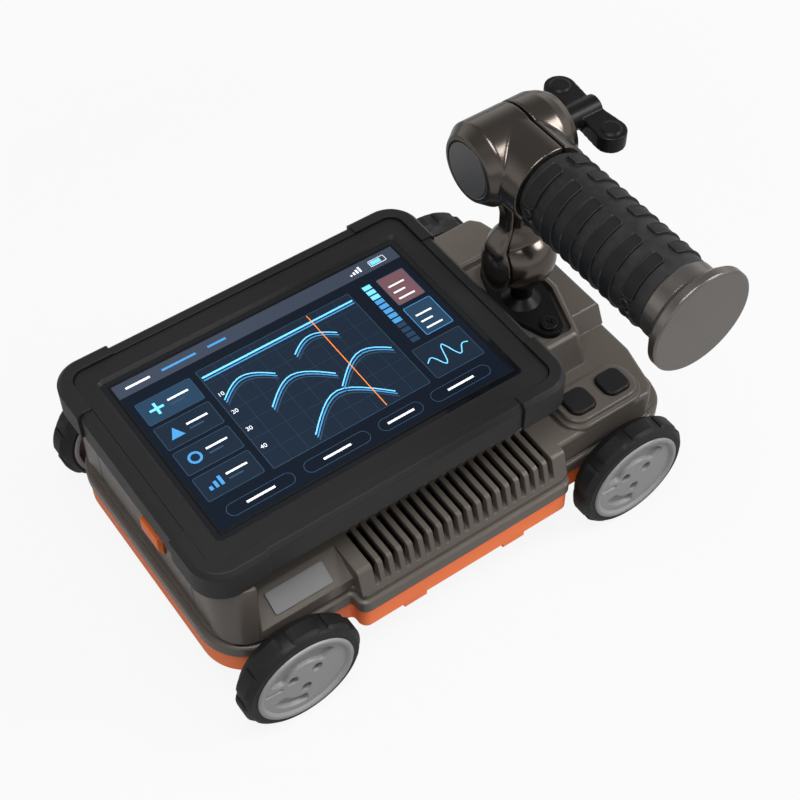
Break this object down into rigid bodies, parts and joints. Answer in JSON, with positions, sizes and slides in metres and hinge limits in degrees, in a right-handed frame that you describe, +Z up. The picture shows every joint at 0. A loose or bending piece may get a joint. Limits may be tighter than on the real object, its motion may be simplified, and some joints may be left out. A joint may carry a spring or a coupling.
{
  "type": "handheld concrete scanning radar",
  "caption": "Rolling ground radar for scanning concrete: wheeled antenna base, flat tablet display, push buttons, battery door and a ball-clamped rubber grip with a wing knob.",
  "frame": {"origin": "centre of the flat antenna sole under the unit, midway between the axles", "axes": "+X along the travel direction towards the handle end, +Y towards the rear wheels' side away from the grip, +Z up out of the sole"},
  "size_m": [0.2892, 0.2435, 0.234],
  "materials": {
    "cast_body": "die-cast, satin dark bronze grey coat",
    "arm_metal": "satin dark anodised",
    "orange_plastic": "satin moulded orange",
    "door_paint": "die-cast, satin dark bronze grey coat",
    "gasket_rubber": "matt",
    "radome_plastic": "matt wear plate",
    "circuit_board": "green solder mask",
    "tin_shield": "tinned sheet",
    "foam": "open foam",
    "heat_sink": "black anodised",
    "black_plastic": "matt moulded",
    "battery_wrap": "matt shrink wrap",
    "steel": "zinc plated",
    "plate_metal": "brushed, blank",
    "dark_casting": "black powder coat",
    "panel": "display panel",
    "screen_glass": "clear cover glass, lit from behind",
    "trim": "black",
    "bezel_plastic": "fine grained charcoal",
    "bumper_rubber": "matt",
    "button_rubber": "satin",
    "hub_plastic": "light grey moulded",
    "tyre_rubber": "matt",
    "grip_rubber": "matt, raised pads",
    "tube": "plain tube"
  },
  "bodies": {
    "chassis": {"main_housing": "cast_body", "antenna_base": "orange_plastic", "base_gasket": "gasket_rubber", "antenna_radome": "radome_plastic", "transmit_antenna": "circuit_board", "receive_antenna": "circuit_board", "antenna_shields": "tin_shield", "antenna_absorbers": "foam", "radar_board": "circuit_board", "board_shields": "tin_shield", "heat_sink_front": "heat_sink", "heat_sink_rear": "heat_sink", "processor_board": "circuit_board", "battery_sleeve": "black_plastic", "battery_pack": "battery_wrap", "door_hinge_pin": "steel", "name_plate": "plate_metal", "button_board": "circuit_board", "base_screws": "steel", "axle_bushes": "black_plastic", "encoder_reader": "black_plastic", "ball_base": "dark_casting", "ball_base_screws": "steel", "display_case": "black_plastic", "display_board": "circuit_board", "display_panel": "panel", "touch_glass": "screen_glass", "display_trim": "trim", "display_bezel": "bezel_plastic", "rim_strips": "bumper_rubber", "corner_bumpers": "bumper_rubber", "display_screws": "steel"},
    "left_axle": {"axle_left": "steel", "encoder_disc": "heat_sink", "hub_front_left": "hub_plastic", "hub_rear_left": "hub_plastic", "tyre_front_left": "tyre_rubber", "tyre_rear_left": "tyre_rubber", "hub_screws_left": "steel"},
    "right_axle": {"axle_right": "steel", "hub_front_right": "hub_plastic", "hub_rear_right": "hub_plastic", "tyre_front_right": "tyre_rubber", "tyre_rear_right": "tyre_rubber", "hub_screws_right": "steel"},
    "left_button": {"button_left": "button_rubber"},
    "right_button": {"button_right": "button_rubber"},
    "socket_ring": {"liner_ring": "black_plastic"},
    "socket_cup": {"liner_cup": "black_plastic"},
    "arm": {"arm_front_half": "arm_metal", "arm_rear_half": "arm_metal", "head_cap": "black_plastic", "clamp_bolt": "steel", "grip_tube": "tube", "grip_sleeve": "grip_rubber", "grip_end_cap": "arm_metal"},
    "washer": {"knob_washer": "steel"},
    "knob": {"wing_knob": "black_plastic"},
    "door": {"battery_door": "door_paint"},
    "latch": {"door_latch": "orange_plastic"}
  },
  "joints": [
    {"name": "left_axle_spin", "type": "hinge", "parent": "chassis", "child": "left_axle", "pos_m": [-0.10665, 0, 0.0276], "axis": [0, 1, 0], "continuous": true},
    {"name": "right_axle_spin", "type": "hinge", "parent": "chassis", "child": "right_axle", "pos_m": [0.10665, 0, 0.0276], "axis": [0, 1, 0], "continuous": true},
    {"name": "left_button_press", "type": "slide", "parent": "chassis", "child": "left_button", "axis": [0, 0, -1], "range_m": [0, 0.0012], "stiffness_N_per_m": 1200, "springref_m": -0.0008},
    {"name": "right_button_press", "type": "slide", "parent": "chassis", "child": "right_button", "axis": [0, 0, -1], "range_m": [0, 0.0012], "stiffness_N_per_m": 1200, "springref_m": -0.0008},
    {"name": "handle_yaw", "type": "hinge", "parent": "chassis", "child": "socket_ring", "pos_m": [0.104, 0, 0.1145], "axis": [0, 0, 1], "range_deg": [-180, 180]},
    {"name": "handle_roll", "type": "hinge", "parent": "socket_ring", "child": "socket_cup", "pos_m": [0.104, 0, 0.1145], "axis": [0, 1, 0], "range_deg": [-14, 14]},
    {"name": "handle_pitch", "type": "hinge", "parent": "socket_cup", "child": "arm", "pos_m": [0.104, 0, 0.1145], "axis": [1, 0, 0], "range_deg": [-14, 14]},
    {"name": "knob_back_off", "type": "slide", "parent": "arm", "child": "washer", "axis": [1, 0, 0], "range_m": [0, 0.0025]},
    {"name": "knob_turn", "type": "hinge", "parent": "washer", "child": "knob", "pos_m": [0.1175, 0, 0.199], "axis": [1, 0, 0], "range_deg": [0, 720]},
    {"name": "battery_door_swing", "type": "hinge", "parent": "chassis", "child": "door", "pos_m": [-0.133, 0, 0.0524], "axis": [0, -1, 0], "range_deg": [0, 95]},
    {"name": "latch_slide", "type": "slide", "parent": "door", "child": "latch", "axis": [0, 0, -1], "range_m": [0, 0.004], "stiffness_N_per_m": 400, "springref_m": -0.003}
  ],
  "couplings": [
    {"joint": "knob_back_off", "follows": "knob_turn", "m_per_rad": 0.00019894}
  ]
}
